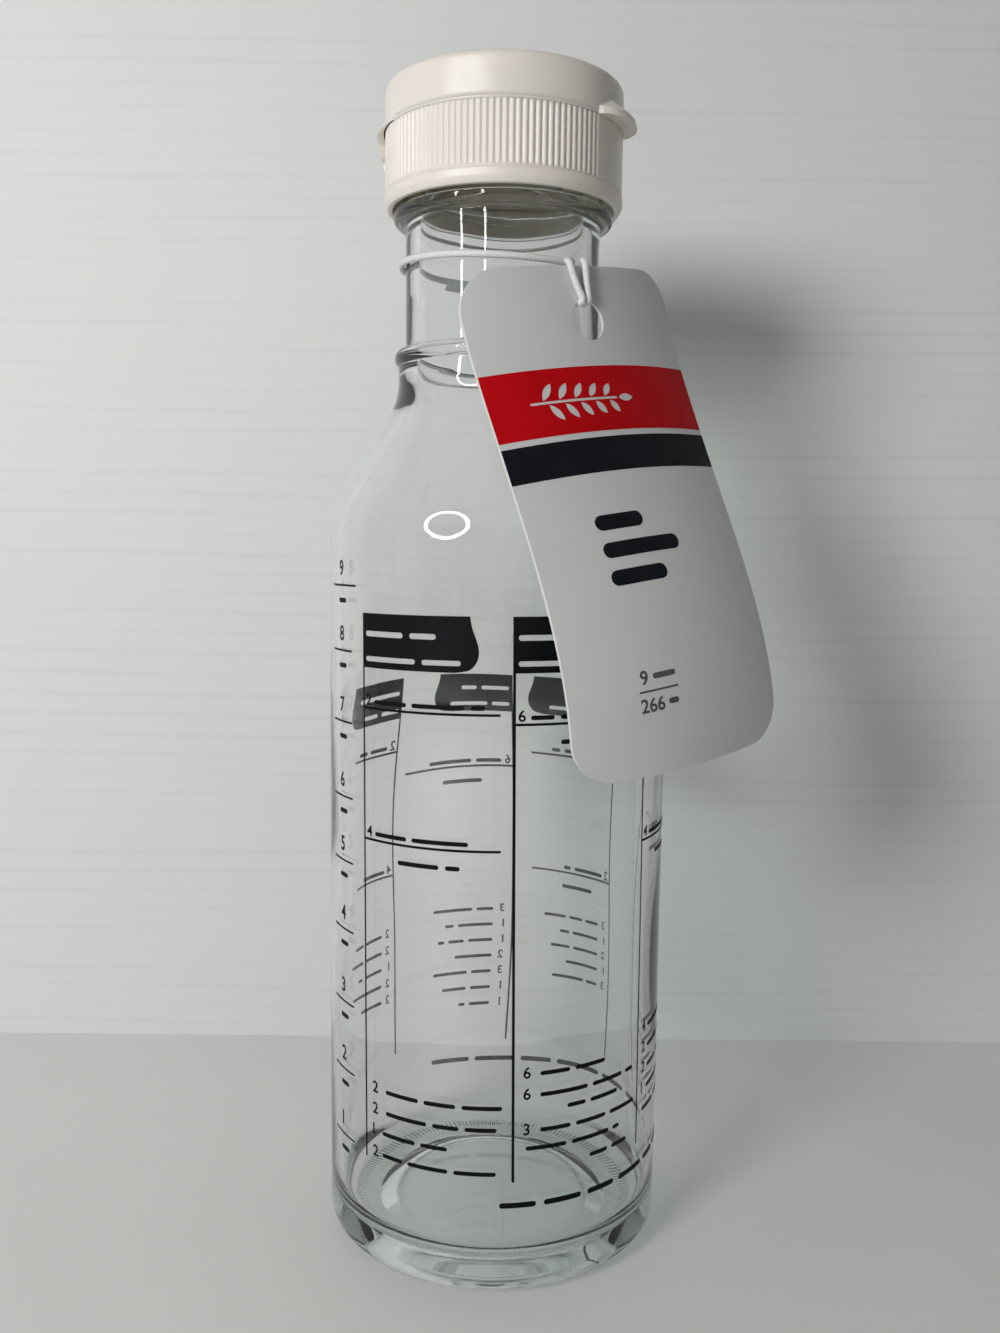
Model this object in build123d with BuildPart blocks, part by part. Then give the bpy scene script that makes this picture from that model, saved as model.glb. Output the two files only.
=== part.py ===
"""Glass shaker bottle for salad dressing: a screw cap with a flip lid, and a card tag on an elastic cord.

Millimetres, +Z up. The origin is the middle of the ring that the bottle stands on, and -Y is the front.
"""
import os
from math import asin, atan, cos, degrees, radians, sin, tan

from build123d import *

os.makedirs("parts", exist_ok=True)

# Glass body
body_radius = 30.0
body_wall = 2.0
heel_round = 5.5
standing_ring_width = 3.5
standing_ring_round = 0.5
push_up_height = 3.0
push_up_slope_width = 3.5
push_up_round = 2.5
floor_thickness = 5.0
floor_round = 6.0
shoulder_corner_height = 128.9
shoulder_round = 16.0

# Glass neck and screw finish
neck_foot_radius = 18.0
neck_foot_round = 13.6
shoulder_rise = 20.0
neck_radius = 16.8
neck_ring_rise = 6.9
neck_ring_section_radius = 1.55
neck_ring_reach = 1.9
neck_length = 21.1
neck_bead_thickness = 3.4
neck_bead_reach = 2.1
neck_bead_lower_round = 1.5
neck_bead_upper_round = 0.4
finish_height = 10.2
finish_radius = 17.4
bore_radius = 14.2
lip_round = 0.8
thread_pitch = 4.23
thread_depth = 1.15
thread_root_width = 2.0
thread_crest_width = 0.8
thread_overlap = 0.25
thread_rise_above_bead = 2.3
thread_turns = 1.25
cap_thread_turns = 0.9

# Screw cap
skirt_gap = 0.4
skirt_clearance = 0.5
skirt_wall = 1.35
skirt_bead_height = 2.45
skirt_bead_round = 0.9
skirt_bead_reach = 0.12
liner_thickness = 1.0
liner_bore_radius = 8.0
liner_side_gap = 0.3
deck_thickness = 1.8
rib_step_angle = 3.0
rib_groove_depth = 0.35
rib_groove_mouth = 0.62
rib_groove_root = 0.34
plain_panel_half_angle = 21.0
orifice_radius = 5.0
spout_wall = 1.2
spout_height = 2.0
snap_ring_gap = 0.45
snap_ring_wall = 0.8
snap_ring_height = 0.7

# Flip lid
seam_gap = 0.1
lid_height = 7.5
lid_wall = 1.3
lid_top_thickness = 1.4
lid_edge_round = 1.2
plug_clearance = 0.1
plug_taper_width = 0.6
plug_depth = 1.5
plug_wall = 1.6
tab_direction = -22.0
tab_reach = 2.8
tab_end_reach = 0.5
tab_half_angle = 20.0
tab_thickness = 2.4
tab_slope_angle = 28.0
flare_reach = 1.9
flare_half_angle = 50.0
flare_drop = 2.6
flare_straight_height = 1.6
flare_slope_height = 3.2
flare_gap = 0.25

# Living hinge
hinge_length = 5.0
hinge_bead_radius = 0.5
hinge_bead_gap = 0.08
hinge_web_height = 0.7
hinge_web_thickness = 0.8
hinge_inset = 0.8

# Card tag and elastic cord
cord_diameter = 1.15
soft_gap = 0.3
cord_drop_below_bead = 5.4
cord_start_azimuth = 35.5
cord_end_azimuth = 58.0
cord_lead_length = 2.1
tag_width = 44.0
tag_above_hole = 9.6
tag_below_hole = 73.3
tag_thickness = 0.5
tag_corner_round = 7.5
tag_bend_radius = 100.0
tag_curl_start = 22.0
tag_curl_radius = 215.0
tag_hole_radius = 3.2
tag_top_gap = 1.35
tag_top_drop = 7.6
tag_shoulder_gap = 1.67
tag_side_shift = 2.1
tag_azimuth = 34.5
tag_roll = 6.4
strand_gap = 0.1
strand_start_gap = 0.2
strand_spacing = 1.3
strand_shift = 0.45
strand_spread = 1.9
strand_fold_round = 0.7
strand_lead_round = 0.9
strand_edge_rise = 0.6
strand_edge_round = 1.2
knot_radius = 1.8
knot_flat_depth = 0.55
knot_gap = 0.5

# One overrun for every cut
cut_overrun = 1.0

# Heights that follow from the sizes
neck_foot_height = shoulder_corner_height + shoulder_rise
neck_ring_height = neck_foot_height + neck_ring_rise
bead_bottom = neck_ring_height + neck_length
bead_top = bead_bottom + neck_bead_thickness
lip_height = bead_top + finish_height
skirt_bottom = bead_top + skirt_gap
rib_bottom = skirt_bottom + skirt_bead_height
deck_underside = lip_height + liner_thickness
seam_height = deck_underside + deck_thickness
lid_bottom = seam_height + seam_gap
lid_top = lid_bottom + lid_height
cord_height = bead_bottom - cord_drop_below_bead
floor_height = push_up_height + floor_thickness

# Radii that follow from the sizes
thread_crest_radius = finish_radius + thread_depth
skirt_inner_radius = thread_crest_radius + skirt_clearance
cap_radius = skirt_inner_radius + skirt_wall
lid_inner_radius = cap_radius - lid_wall
cord_ring_radius = neck_radius + soft_gap + cord_diameter / 2

# Planes of the cap and lid: x runs towards the thumb tab, away from the hinge
lid_plane = Plane.XY.rotated((0, 0, tab_direction))
hinge_plane = Plane.XZ.rotated((0, 0, tab_direction))
towards_tab = Vector(cos(radians(tab_direction)), sin(radians(tab_direction)), 0)


def revolve_outline(points, rounds):
    """Adds the solid turned from a closed outline of (radius, height) points, some corners rounded."""
    with BuildSketch(Plane.XZ) as outline:
        with BuildLine():
            Polyline(*points, close=True)
        make_face()
        for corner, size in rounds:
            fillet(vertices().sort_by_distance(corner)[0], radius=size)
    revolve(outline.sketch, axis=Axis.Z)


def thread_ridge(root_radius, depth, start_height, turns):
    """Adds one screw ridge; a negative depth points it inwards."""
    overlap = thread_overlap if depth > 0 else -thread_overlap
    with BuildLine() as spiral:
        path = Helix(thread_pitch, thread_pitch * turns, root_radius, center=(0, 0, start_height))
    with BuildSketch(Plane(origin=path @ 0, x_dir=(1, 0, 0), z_dir=(0, -1, 0))) as section:
        with BuildLine():
            Polyline(
                (-overlap, -thread_root_width / 2),
                (-overlap, thread_root_width / 2),
                (0, thread_root_width / 2),
                (depth, thread_crest_width / 2),
                (depth, -thread_crest_width / 2),
                (0, -thread_root_width / 2),
                close=True,
            )
        make_face()
    sweep(section.sketch, path=spiral.line, is_frenet=True)


def crescent_circle(reach, end_reach, half_angle):
    """Centre distance and radius of the circle that stands proud of the cap by reach, falling to end_reach."""
    far_point = cap_radius + reach
    end_point = cap_radius + end_reach
    offset_x = (far_point**2 - end_point**2) / (2 * (far_point - end_point * cos(radians(half_angle))))
    return offset_x, far_point - offset_x


# Glass bottle: one revolved wall with its heel, push-up, shoulder, neck rings and screw finish
ring_outer_radius = body_radius - heel_round
ring_inner_radius = ring_outer_radius - standing_ring_width
push_up_radius = ring_inner_radius - push_up_slope_width
shoulder_slope = (body_radius - neck_foot_radius) / shoulder_rise
inner_body_radius = body_radius - body_wall
inner_shoulder_height = shoulder_corner_height - body_wall * tan(atan(shoulder_slope) / 2)
inner_neck_height = inner_shoulder_height + (inner_body_radius - bore_radius) / shoulder_slope
bead_radius = neck_radius + neck_bead_reach
ring_center_radius = neck_radius + neck_ring_reach - neck_ring_section_radius

wall_points = [
    (0, push_up_height),
    (push_up_radius, push_up_height),
    (ring_inner_radius, 0),
    (body_radius, 0),
    (body_radius, shoulder_corner_height),
    (neck_foot_radius, neck_foot_height),
    (neck_foot_radius, neck_ring_height),
    (neck_radius, neck_ring_height),
    (neck_radius, bead_bottom),
    (bead_radius, bead_bottom),
    (bead_radius, bead_top),
    (finish_radius, bead_top),
    (finish_radius, lip_height),
    (bore_radius, lip_height),
    (bore_radius, inner_neck_height),
    (inner_body_radius, inner_shoulder_height),
    (inner_body_radius, floor_height),
    (0, floor_height),
]
wall_rounds = [
    ((push_up_radius, push_up_height), push_up_round),
    ((ring_inner_radius, 0), standing_ring_round),
    ((body_radius, 0), heel_round),
    ((body_radius, shoulder_corner_height), shoulder_round),
    ((neck_foot_radius, neck_foot_height), neck_foot_round),
    ((bead_radius, bead_bottom), neck_bead_lower_round),
    ((bead_radius, bead_top), neck_bead_upper_round),
    ((finish_radius, lip_height), lip_round),
    ((bore_radius, lip_height), lip_round),
    ((bore_radius, inner_neck_height), neck_foot_round),
    ((inner_body_radius, inner_shoulder_height), shoulder_round - body_wall),
    ((inner_body_radius, floor_height), floor_round),
]

with BuildPart() as glass_bottle:
    revolve_outline(wall_points, wall_rounds)
    with BuildSketch(Plane.XZ):
        with Locations((ring_center_radius, neck_ring_height)):
            Circle(neck_ring_section_radius)
    revolve(axis=Axis.Z)
    thread_ridge(finish_radius, thread_depth, bead_top + thread_rise_above_bead, thread_turns)
glass_bottle.part.label = "glass_bottle"
export_step(glass_bottle.part, "parts/glass_bottle.step")

# Screw cap: ribbed skirt over a smooth bead, a deck with the pouring spout, and the inner thread
rib_band_angle = 360 - 2 * plain_panel_half_angle
rib_count = round(rib_band_angle / rib_step_angle)
bead_outer_radius = cap_radius + skirt_bead_reach
hinge_x = -(cap_radius + flare_reach - hinge_inset)
flare_bottom = lid_bottom - flare_drop
hinge_height = flare_bottom - hinge_web_height
spout_radius = orifice_radius + spout_wall
snap_ring_radius = lid_inner_radius - snap_ring_gap
cap_thread_start = bead_top + thread_rise_above_bead + thread_pitch / 2

with BuildPart() as cap_base:
    revolve_outline(
        [
            (0, skirt_bottom),
            (bead_outer_radius, skirt_bottom),
            (bead_outer_radius, rib_bottom),
            (0, rib_bottom),
        ],
        [
            ((bead_outer_radius, skirt_bottom), skirt_bead_round),
            ((bead_outer_radius, rib_bottom), skirt_bead_round),
        ],
    )
    with BuildSketch(lid_plane.offset(rib_bottom - skirt_bead_round)):
        Circle(cap_radius)
        with PolarLocations(cap_radius, rib_count + 1, plain_panel_half_angle, rib_band_angle, endpoint=True):
            Polygon(
                (-rib_groove_depth, -rib_groove_root / 2),
                (0, -rib_groove_mouth / 2),
                (cut_overrun, -rib_groove_mouth / 2),
                (cut_overrun, rib_groove_mouth / 2),
                (0, rib_groove_mouth / 2),
                (-rib_groove_depth, rib_groove_root / 2),
                align=None,
                mode=Mode.SUBTRACT,
            )
    extrude(amount=seam_height - rib_bottom + skirt_bead_round)
    with BuildSketch(Plane.XY.offset(seam_height)):
        Circle(spout_radius)
    extrude(amount=spout_height)
    with BuildSketch(Plane.XY.offset(seam_height)):
        Circle(snap_ring_radius)
        Circle(snap_ring_radius - snap_ring_wall, mode=Mode.SUBTRACT)
    extrude(amount=snap_ring_height)
    with BuildSketch(hinge_plane.offset(-hinge_length / 2)):
        with Locations((-(cap_radius - hinge_bead_radius), hinge_height)):
            Rectangle(
                cap_radius - hinge_bead_radius + hinge_x,
                2 * hinge_bead_radius,
                align=(Align.MIN, Align.CENTER),
            )
        with Locations((hinge_x, hinge_height)):
            Circle(hinge_bead_radius + hinge_bead_gap, mode=Mode.SUBTRACT)
    extrude(amount=hinge_length)
    with BuildSketch(Plane.XY.offset(skirt_bottom)):
        Circle(skirt_inner_radius)
    extrude(amount=deck_underside - skirt_bottom, mode=Mode.SUBTRACT)
    with BuildSketch(Plane.XY.offset(deck_underside)):
        Circle(orifice_radius)
    extrude(amount=deck_thickness + spout_height, mode=Mode.SUBTRACT)
    thread_ridge(skirt_inner_radius, -thread_depth, cap_thread_start, cap_thread_turns)
cap_base.part.label = "cap_base"
export_step(cap_base.part, "parts/cap_base.step")

# Sealing liner under the deck
with BuildPart() as cap_liner:
    with BuildSketch(Plane.XY.offset(lip_height)):
        Circle(skirt_inner_radius - liner_side_gap)
        Circle(liner_bore_radius, mode=Mode.SUBTRACT)
    extrude(amount=liner_thickness)
cap_liner.part.label = "cap_liner"
export_step(cap_liner.part, "parts/cap_liner.step")

# Flip lid: shell with a thumb tab on the right, and opposite it the rim that flares out and down to the hinge
flare_offset, flare_radius = crescent_circle(flare_reach, 0, flare_half_angle)
tab_offset, tab_radius = crescent_circle(tab_reach, tab_end_reach, tab_half_angle)
flare_slope_angle = degrees(atan(flare_reach / flare_slope_height))
flare_end_x = -cap_radius * cos(radians(flare_half_angle))
flare_flat_x = hinge_x + hinge_web_thickness / 2
flare_run = flare_end_x - flare_flat_x
slant_length = (flare_run**2 + flare_drop**2) ** 0.5
slant_plane = Plane(
    origin=towards_tab * flare_flat_x + Vector(0, 0, flare_bottom),
    x_dir=towards_tab * flare_run + Vector(0, 0, flare_drop),
    z_dir=towards_tab * -flare_drop + Vector(0, 0, flare_run),
)
cavity_top = lid_top - lid_top_thickness
plug_radius = orifice_radius - plug_clearance
spout_top = seam_height + spout_height
wedge_reach = cap_radius + tab_reach + cut_overrun

with BuildPart() as flip_lid:
    with BuildSketch(Plane.XY.offset(lid_bottom)):
        Circle(cap_radius)
    extrude(amount=lid_height)
    fillet(faces().sort_by(Axis.Z)[-1].edges(), radius=lid_edge_round)
    with BuildSketch(lid_plane.offset(flare_bottom)):
        with Locations((-flare_offset, 0)):
            Circle(flare_radius)
    extrude(amount=flare_straight_height)
    with BuildSketch(lid_plane.offset(flare_bottom + flare_straight_height)):
        with Locations((-flare_offset, 0)):
            Circle(flare_radius)
    extrude(amount=flare_slope_height, taper=flare_slope_angle)
    with BuildSketch(Plane.XY.offset(flare_bottom)):
        Circle(cap_radius + flare_gap)
    extrude(amount=flare_drop, mode=Mode.SUBTRACT)
    with BuildSketch(slant_plane):
        Rectangle(slant_length, 2 * cap_radius, align=(Align.MIN, Align.CENTER))
    extrude(amount=-flare_drop, mode=Mode.SUBTRACT)
    with BuildSketch(lid_plane.offset(lid_bottom)):
        with Locations((tab_offset, 0)):
            Circle(tab_radius)
        Polygon(
            (0, 0),
            (wedge_reach, -wedge_reach * tan(radians(tab_half_angle))),
            (wedge_reach, wedge_reach * tan(radians(tab_half_angle))),
            align=None,
            mode=Mode.INTERSECT,
        )
    extrude(amount=tab_thickness, taper=tab_slope_angle)
    with BuildSketch(Plane.XY.offset(lid_bottom)):
        Circle(lid_inner_radius)
    extrude(amount=cavity_top - lid_bottom, mode=Mode.SUBTRACT)
    revolve_outline(
        [
            (plug_radius - plug_wall, cavity_top + lid_top_thickness / 2),
            (plug_radius, cavity_top + lid_top_thickness / 2),
            (plug_radius, spout_top),
            (plug_radius - plug_taper_width, spout_top - plug_depth),
            (plug_radius - plug_wall, spout_top - plug_depth),
        ],
        [],
    )
flip_lid.part.label = "flip_lid"
export_step(flip_lid.part, "parts/flip_lid.step")

# Hinge web: the moulded bead that the lid turns on, with the short web that joins it to the lid
with BuildPart() as hinge_web:
    with BuildSketch(hinge_plane.offset(-hinge_length / 2)):
        with Locations((hinge_x, hinge_height)):
            Circle(hinge_bead_radius)
            Rectangle(hinge_web_thickness, hinge_web_height, align=(Align.CENTER, Align.MIN))
    extrude(amount=hinge_length)
hinge_web.part.label = "hinge_web"
export_step(hinge_web.part, "parts/hinge_web.step")

# Card tag: it leans from the neck out over the shoulder, leaves room for the knot behind it, and curls back lower down
facing = Vector(sin(radians(tag_azimuth)), -cos(radians(tag_azimuth)), 0)
sideways = Vector(cos(radians(tag_azimuth)), sin(radians(tag_azimuth)), 0)
tag_top_reach = neck_radius + tag_top_gap
tag_top_height = bead_bottom - tag_top_drop
tag_overhang = body_radius + tag_shoulder_gap - tag_top_reach
tag_lean = atan(tag_overhang / (tag_top_height - shoulder_corner_height))
knot_reach = tag_thickness / 2 + knot_gap + 2 * knot_radius - knot_flat_depth
knot_room = tag_top_gap + tag_above_hole * sin(tag_lean) - knot_reach * cos(tag_lean)
tag_stand_off = tag_top_reach + max(soft_gap - knot_room, 0)
tag_normal = facing * cos(tag_lean) + Vector(0, 0, sin(tag_lean))
tag_rise = tag_normal.cross(sideways)
tag_across = sideways * cos(radians(tag_roll)) + tag_rise * sin(radians(tag_roll))
tag_up = tag_rise * cos(radians(tag_roll)) - sideways * sin(radians(tag_roll))
tag_top = facing * tag_stand_off + sideways * tag_side_shift + Vector(0, 0, tag_top_height)
hole_center = tag_top - tag_rise * tag_above_hole
tag_length = tag_above_hole + tag_below_hole
tag_plane = Plane(origin=hole_center, x_dir=tag_across, z_dir=tag_normal)
curl_origin = hole_center - tag_up * tag_curl_start
curl_plane = Plane(origin=curl_origin, x_dir=tag_across, z_dir=tag_up)
curl_axis = Axis(curl_origin - tag_normal * tag_curl_radius, tag_across)
curl_reach = (tag_below_hole - tag_curl_start + cut_overrun) / tag_curl_radius
curl_depth = tag_curl_radius * (1 - (1 - curl_reach**2) ** 0.5)
bend_depth = tag_width**2 / (4 * tag_bend_radius)

with BuildPart() as tag_sheet:
    with BuildSketch(curl_plane) as sheet_section:
        with Locations((0, tag_bend_radius)):
            Circle(tag_bend_radius + tag_thickness / 2)
            Circle(tag_bend_radius - tag_thickness / 2, mode=Mode.SUBTRACT)
        Rectangle(tag_width + cut_overrun, 2 * bend_depth, mode=Mode.INTERSECT)
    extrude(sheet_section.sketch, amount=tag_above_hole + tag_curl_start + cut_overrun)
    revolve(sheet_section.sketch, axis=curl_axis, revolution_arc=degrees(asin(curl_reach)))

with BuildPart() as hang_tag:
    with BuildSketch(tag_plane.offset(-bend_depth - curl_depth)):
        with Locations((0, (tag_above_hole - tag_below_hole) / 2)):
            RectangleRounded(tag_width, tag_length, tag_corner_round)
        Circle(tag_hole_radius, mode=Mode.SUBTRACT)
    extrude(amount=2 * bend_depth + curl_depth)
    add(tag_sheet.part, mode=Mode.INTERSECT)
hang_tag.part.label = "hang_tag"
export_step(hang_tag.part, "parts/hang_tag.step")

# Elastic cord: a ring round the neck, and two strands from its ends to the hole in the tag
cord_ring_angle = 360 - (cord_end_azimuth - cord_start_azimuth)

with BuildPart() as cord_ring:
    with BuildSketch(Plane.XZ.rotated((0, 0, cord_end_azimuth - 90))):
        with Locations((cord_ring_radius, cord_height)):
            Circle(cord_diameter / 2)
    revolve(axis=Axis.Z, revolution_arc=cord_ring_angle)
cord_ring.part.label = "tag_cord_ring"
export_step(cord_ring.part, "parts/tag_cord_ring.step")


def on_ring(azimuth):
    """Point of the cord's centre line at this angle from the front, and the direction of growing angle."""
    angle = radians(azimuth)
    point = Vector(cord_ring_radius * sin(angle), -cord_ring_radius * cos(angle), cord_height)
    return point, Vector(cos(angle), sin(angle), 0)


def strand_path(azimuth, turn, across_at_edge, across_at_hole):
    """Route of one strand: on along the ring, over the card's edge, down its face and back through the hole."""
    start, along = on_ring(azimuth)
    above_face = tag_thickness / 2 + strand_gap + cord_diameter / 2
    reach_in_hole = tag_hole_radius - strand_gap - cord_diameter / 2
    up_in_hole = (reach_in_hole**2 - across_at_hole**2) ** 0.5
    lead = start + along * turn * cord_lead_length
    edge = hole_center + tag_across * across_at_edge + tag_up * (tag_above_hole + strand_edge_rise)
    edge += tag_normal * above_face
    fold = hole_center + tag_across * across_at_hole + tag_up * up_in_hole + tag_normal * above_face
    end = fold - tag_normal * (above_face + tag_thickness / 2 + knot_gap)
    return [start + along * turn * strand_start_gap, lead, edge, fold, end]


left_strand = strand_path(cord_start_azimuth, 1, strand_shift, strand_shift)
right_strand = strand_path(
    cord_end_azimuth, -1, strand_shift + strand_spacing + strand_spread, strand_shift + strand_spacing
)

with BuildPart() as cord_strands:
    for points in (left_strand, right_strand):
        with BuildLine() as strand_line:
            FilletPolyline(*points, radius=[strand_lead_round, strand_edge_round, strand_fold_round])
        strand_wire = strand_line.wire()
        with BuildSketch(Plane(origin=strand_wire @ 0, z_dir=strand_wire % 0)):
            Circle(cord_diameter / 2)
        sweep(path=strand_wire)
cord_strands.part.label = "tag_cord_strands"
export_step(cord_strands.part, "parts/tag_cord_strands.step")

# Knot behind the card, cut flat where the two strands enter it
strand_ends_middle = (left_strand[-1] + right_strand[-1]) * 0.5
knot_plane = Plane(origin=strand_ends_middle, x_dir=tag_across, z_dir=tag_normal)

with BuildPart() as cord_knot:
    with Locations(knot_plane.offset(knot_flat_depth - knot_radius)):
        Sphere(knot_radius)
    with BuildSketch(knot_plane):
        Circle(knot_radius)
    extrude(amount=knot_radius, mode=Mode.SUBTRACT)
cord_knot.part.label = "tag_cord_knot"
export_step(cord_knot.part, "parts/tag_cord_knot.step")
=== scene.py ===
import math
import random

import bmesh
import bpy
import numpy as np
from mathutils import Matrix, Vector


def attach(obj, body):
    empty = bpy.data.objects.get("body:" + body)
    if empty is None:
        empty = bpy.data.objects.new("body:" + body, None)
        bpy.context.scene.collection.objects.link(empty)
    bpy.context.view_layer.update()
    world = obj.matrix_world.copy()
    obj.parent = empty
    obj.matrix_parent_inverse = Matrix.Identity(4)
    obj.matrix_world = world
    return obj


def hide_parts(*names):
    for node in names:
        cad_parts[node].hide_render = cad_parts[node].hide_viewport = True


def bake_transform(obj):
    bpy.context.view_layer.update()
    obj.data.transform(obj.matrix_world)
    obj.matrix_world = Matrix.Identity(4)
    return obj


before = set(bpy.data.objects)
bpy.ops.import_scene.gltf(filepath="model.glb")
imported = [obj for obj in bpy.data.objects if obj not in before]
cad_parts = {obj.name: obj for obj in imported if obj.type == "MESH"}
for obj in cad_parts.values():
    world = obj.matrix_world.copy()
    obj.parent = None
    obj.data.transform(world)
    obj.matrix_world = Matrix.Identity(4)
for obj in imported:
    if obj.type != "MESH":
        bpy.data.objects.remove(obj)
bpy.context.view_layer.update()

# Lengths below are millimetres, heights are from the table, and azimuths are degrees from the front,
# growing to the right.
MM = 0.001
scene = bpy.context.scene
dice = random.Random(17)

# Camera
CAMERA_PLACE = (-0.66, -217.0, 125.2)
CAMERA_YAW = math.radians(0.27)
CAMERA_PITCH = math.radians(6.10)
CAMERA_ROLL = math.radians(0.68)
CAMERA_LENS = 32.68
CAMERA_SENSOR = 36.0
CAMERA_CLIP = (0.01, 20.0)

# Glass body: the part's sizes, apart from the bead's lower edge; the ticks of the sole are only here
BODY_RADIUS = 30.0
BODY_WALL = 2.0
BORE_RADIUS = 14.2
NECK_RADIUS = 16.8
NECK_FOOT_RADIUS = 18.0
HEEL_ROUND = 5.5
NECK_RING_CENTRE = (17.15, 155.8)
NECK_RING_SECTION = 1.55
BEAD_RADIUS = 18.9
BEAD_BOTTOM = 178.4
BEAD_TOP = 180.3
LIP_HEIGHT = 190.5
FINISH_RADIUS = 17.4
THREAD_PITCH = 4.23
THREAD_DEPTH = 1.15
THREAD_ROOT = 2.0
THREAD_CREST = 0.8
THREAD_START = 182.6
THREAD_TURNS = 1.25
THREAD_FADE = 0.05
KNURL_TICKS = 180
KNURL_DEPTH = 0.3
KNURL_SLANT = 1.6
KNURL_BAND = (24.2, 27.2)
KNURL_EDGE = 0.6
FROST_AND_GLINT_HEIGHTS = (1.6, 2.0)

# Cap and lid, as in the part
CAP_RADIUS = 20.4
CAP_BOTTOM = 180.7
CAP_THREAD_RADIUS = 19.05
CAP_THREAD_START = 184.715
CAP_THREAD_TURNS = 0.9
DECK_UNDERSIDE = 191.5
SEAM_HEIGHT = 193.3
SPOUT_TOP = 195.3
LID_TOP = 200.9
LID_CEILING = 199.5
LID_INNER_RADIUS = 19.1
LID_EDGE = 193.31
HINGE_X = -21.5
HINGE_HEIGHT = 190.1
TAB_DIRECTION = math.radians(-22.0)

# Cord and card
CORD_RADIUS = 0.575
CORD_RING_RADIUS = 17.675
CORD_HEIGHT = 171.5
CORD_AZIMUTHS = (34.5, 52.0)
CARD_WIDTH = 44.0
CARD_TOP = 8.92
CARD_BOTTOM = 74.43
CARD_THICKNESS = 0.5
CARD_HOLE = 3.3
CARD_TOP_CURL = 0.3
CARD_CURL_LENGTH = 30.0
CARD_CORNER = 7.5
CARD_DISTANCE = 20.92
CARD_SIDE_SHIFT = 2.25
CARD_HOLE_HEIGHT = 160.24
CARD_AZIMUTH = math.radians(34.6)
CARD_ROLL = math.radians(6.9)
CARD_LEAN = (math.radians(12.0), math.radians(0.69), math.radians(-0.0127))
CARD_BEND = -0.00639


def smooth(t):
    """Smooth step of numbers clipped to 0 and 1."""
    t = np.clip(t, 0, 1)
    return t * t * (3 - 2 * t)


def full_turn(count):
    """Angles of equal steps round a circle."""
    return np.linspace(0, 2 * math.pi, count, endpoint=False)


def grid_faces(rows, columns, wrap_rows=False):
    """Quads of rows of points that close on themselves."""
    r, c = np.meshgrid(np.arange(rows if wrap_rows else rows - 1), np.arange(columns), indexing="ij")
    r2, c2 = (r + 1) % rows, (c + 1) % columns
    return np.stack([r * columns + c, r * columns + c2, r2 * columns + c2, r2 * columns + c], -1).reshape(-1, 4)


def add_object(name, data):
    thing = bpy.data.objects.new(name, data)
    scene.collection.objects.link(thing)
    return thing


def make_piece(name, points, faces, material, smooth_faces=True):
    """Mesh object from points in millimetres."""
    mesh = bpy.data.meshes.new(name)
    mesh.from_pydata((np.asarray(points, float) * MM).tolist(), [], [tuple(int(i) for i in f) for f in faces])
    mesh.polygons.foreach_set("use_smooth", [smooth_faces] * len(mesh.polygons))
    mesh.materials.append(material)
    return add_object(name, mesh)


def add_spline(curve, kind, points):
    """Spline through points of a plane or of space."""
    spline = curve.splines.new(kind)
    spline.points.add(len(points) - 1)
    for p, q in zip(spline.points, points):
        p.co = (*(float(x) for x in q), *[0] * (3 - len(q)), 1)
    return spline


def curve_mesh(curve):
    """Mesh of a curve, which is then removed."""
    holder = add_object("curve", curve)
    bpy.context.view_layer.update()
    mesh = bpy.data.meshes.new_from_object(holder)
    bpy.data.objects.remove(holder)
    bpy.data.curves.remove(curve)
    return mesh


SHARPEST_TURN = math.radians(170)
ROUNDED_SHARE = 0.49


def rounded_profile(table, columns, steps):
    """Rows of (radius, height) points, a point for each column, along rounded corners.

    A row of the table has a corner's radius and height, one for all columns or one for each, its
    rounding, and the longest spacing from there to the next corner.
    """
    one = np.ones(columns)
    corners = np.array([np.stack([radius * one, height * one], -1) for radius, height, _, _ in table])
    rounds, spacings = [row[2] for row in table], [row[3] for row in table]
    rows = [corners[0]]

    def run_to(point, spacing):
        start = rows[-1]
        longest = np.linalg.norm(point - start, axis=-1).max()
        pieces = max(1, int(math.ceil(longest / spacing)))
        for k in range(1, pieces + 1):
            rows.append(start + (point - start) * (k / pieces))

    for i in range(1, len(corners) - 1):
        p = corners[i]
        before, after = p - corners[i - 1], corners[i + 1] - p
        l1, l2 = (np.maximum(np.linalg.norm(v, axis=-1, keepdims=True), 1e-9) for v in (before, after))
        e1, e2 = before / l1, after / l2
        turn = np.minimum(np.arccos(np.clip((e1 * e2).sum(-1, keepdims=True), -1, 1)), SHARPEST_TURN)
        if rounds[i] == 0:
            run_to(p, spacings[i - 1])
            continue
        t = np.minimum(rounds[i] * np.tan(turn / 2), ROUNDED_SHARE * np.minimum(l1, l2))
        a, c, w = p - e1 * t, p + e2 * t, np.cos(turn / 2)
        run_to(a, spacings[i - 1])
        for u in np.linspace(0, 1, steps)[1:]:
            q = (1 - u) ** 2 + 2 * w * u * (1 - u) + u * u
            rows.append(((1 - u) ** 2 * a + 2 * w * u * (1 - u) * p + u * u * c) / q)
    run_to(corners[-1], spacings[-1])
    return np.array(rows)


def turned(profile, angles):
    """Points of rows of (radius, height) turned to angles from +X."""
    radius, height = profile[..., 0], profile[..., 1]
    return np.stack([radius * np.cos(angles), radius * np.sin(angles), height], -1)


def lathe_piece(name, points, material, *poles):
    """Closed skin from rows of points; two poles close its open ends with fans."""
    rows, columns = points.shape[:2]
    faces = grid_faces(rows, columns, wrap_rows=not poles).tolist()
    flat = points.reshape(-1, 3).tolist()
    for pole, row, step in zip(poles, (0, rows - 1), (-1, 1)):
        flat.append(pole)
        edges = [(row * columns + c, row * columns + (c + 1) % columns) for c in range(columns)]
        faces += [(len(flat) - 1, *edge[::step]) for edge in edges]
    return make_piece(name, flat, faces, material)


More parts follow.
